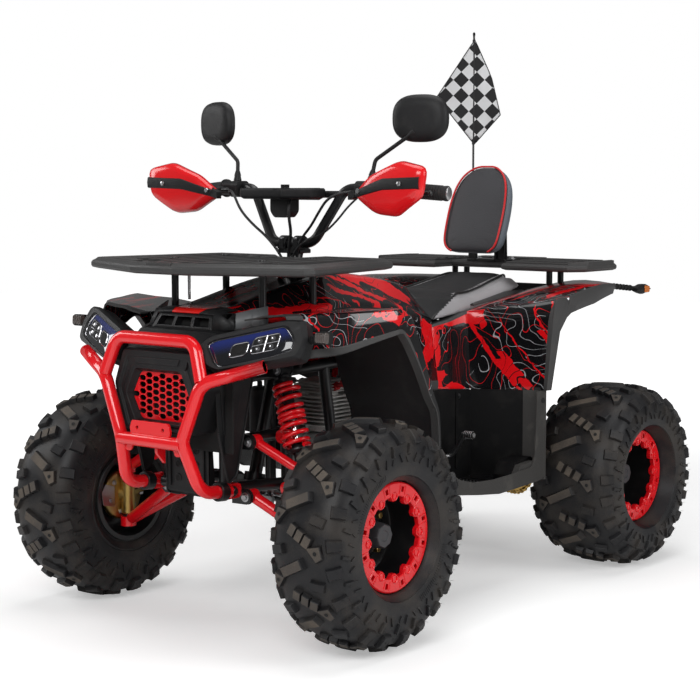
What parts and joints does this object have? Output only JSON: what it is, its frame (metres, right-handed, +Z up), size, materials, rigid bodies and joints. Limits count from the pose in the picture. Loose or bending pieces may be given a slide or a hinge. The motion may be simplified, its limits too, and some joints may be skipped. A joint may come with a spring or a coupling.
{
  "type": "quad bike",
  "caption": "Quad bike with red bumper tubes and wheel rings, racks, backrest and flag; wheels roll and the handlebar steers.",
  "frame": {"origin": "on the ground, midway between the axles, in the centre plane", "axes": "-Y forward, +X to the rider's left, +Z up"},
  "size_m": [0.962, 1.5474, 1.357],
  "materials": {
    "tyre": "worn rubber with dusty lugs",
    "black_steel": "semi-gloss black powder coat",
    "red_steel": "gloss red powder coat",
    "red_plastic": "gloss red moulding",
    "dark_plastic": "grained dark moulding",
    "painted_plastic": "gloss black with red slashes and thin lines",
    "steel": "bare or zinc-plated steel",
    "zinc": "yellow zinc",
    "alloy": "cast, dull",
    "chain_steel": "dark oiled steel",
    "seat_vinyl": "grained vinyl with grey side panels",
    "rest_vinyl": "grained vinyl with red piping",
    "lens": "clear lamp lens",
    "amber_lens": "smoked lamp",
    "red_lens": "red lamp lens",
    "mirror": "silvered glass",
    "rubber": "ribbed grip rubber",
    "white_rod": "white fibreglass rod",
    "flag_cloth": "black and white checked cloth"
  },
  "bodies": {
    "chassis": {"frame": "black_steel", "front_bumper": "red_steel", "skid_plate": "dark_plastic", "grille_mesh": "red_plastic", "nose_fairing": "dark_plastic", "headlights": "lens", "hood_shroud": "painted_plastic", "front_fender_left": "dark_plastic", "front_fender_right": "dark_plastic", "front_rack": "dark_plastic", "rear_rack": "dark_plastic", "seat": "seat_vinyl", "backrest_pad": "rest_vinyl", "backrest_bracket": "black_steel", "rear_fender_left": "painted_plastic", "rear_fender_right": "painted_plastic", "tail_light": "red_lens", "footwell_left": "dark_plastic", "footwell_right": "dark_plastic", "footpegs": "black_steel", "engine": "alloy", "carburettor": "alloy", "exhaust": "black_steel", "suspension_arms": "red_steel", "dampers": "steel", "springs": "red_steel", "swingarm": "black_steel", "chain": "chain_steel", "indicators": "amber_lens", "flag_pole": "white_rod", "flag": "flag_cloth"},
    "steering": {"steering_column": "black_steel", "handlebar": "black_steel", "grips": "rubber", "handguards": "red_plastic", "handguard_bands": "dark_plastic", "controls": "dark_plastic", "mirrors": "dark_plastic", "mirror_glass": "mirror"},
    "tie_rod_left": {"tie_rod_left": "black_steel"},
    "tie_rod_right": {"tie_rod_right": "black_steel"},
    "knuckle_left": {"knuckle_left": "zinc"},
    "knuckle_right": {"knuckle_right": "zinc"},
    "front_wheel_left": {"front_tyre_left": "tyre", "front_rim_left": "black_steel", "front_ring_left": "red_steel"},
    "front_wheel_right": {"front_tyre_right": "tyre", "front_rim_right": "black_steel", "front_ring_right": "red_steel"},
    "rear_axle": {"rear_axle": "steel", "rear_tyre_left": "tyre", "rear_tyre_right": "tyre", "rear_rims": "black_steel", "rear_rings": "red_steel", "sprocket": "zinc", "brake_disc": "steel"}
  },
  "joints": [
    {"name": "steer", "type": "hinge", "parent": "chassis", "child": "steering", "pos_m": [0, -0.455, 0.262], "axis": [0, 0.2825, 0.9593], "range_deg": [-30, 30]},
    {"name": "kingpin_left", "type": "hinge", "parent": "chassis", "child": "knuckle_left", "pos_m": [0.325, -0.521, 0.241], "axis": [0, 0, 1], "range_deg": [-30, 30]},
    {"name": "tie_pivot_left", "type": "hinge", "parent": "steering", "child": "tie_rod_left", "pos_m": [0.015, -0.3989, 0.26841], "axis": [0, 0.2825, 0.9593], "range_deg": [-30, 30]},
    {"name": "front_wheel_left_spin", "type": "hinge", "parent": "knuckle_left", "child": "front_wheel_left", "pos_m": [0.392, -0.521, 0.241], "axis": [1, 0, 0], "continuous": true},
    {"name": "kingpin_right", "type": "hinge", "parent": "chassis", "child": "knuckle_right", "pos_m": [-0.325, -0.521, 0.241], "axis": [0, 0, 1], "range_deg": [-30, 30]},
    {"name": "tie_pivot_right", "type": "hinge", "parent": "steering", "child": "tie_rod_right", "pos_m": [-0.015, -0.3989, 0.26841], "axis": [0, 0.2825, 0.9593], "range_deg": [-30, 30]},
    {"name": "front_wheel_right_spin", "type": "hinge", "parent": "knuckle_right", "child": "front_wheel_right", "pos_m": [-0.392, -0.521, 0.241], "axis": [1, 0, 0], "continuous": true},
    {"name": "rear_axle_spin", "type": "hinge", "parent": "chassis", "child": "rear_axle", "pos_m": [0, 0.521, 0.2285], "axis": [1, 0, 0], "continuous": true}
  ],
  "couplings": [
    {"joint": "kingpin_left", "follows": "steer", "ratio": 1},
    {"joint": "tie_pivot_left", "follows": "steer", "ratio": -1},
    {"joint": "kingpin_right", "follows": "steer", "ratio": 1},
    {"joint": "tie_pivot_right", "follows": "steer", "ratio": -1}
  ]
}
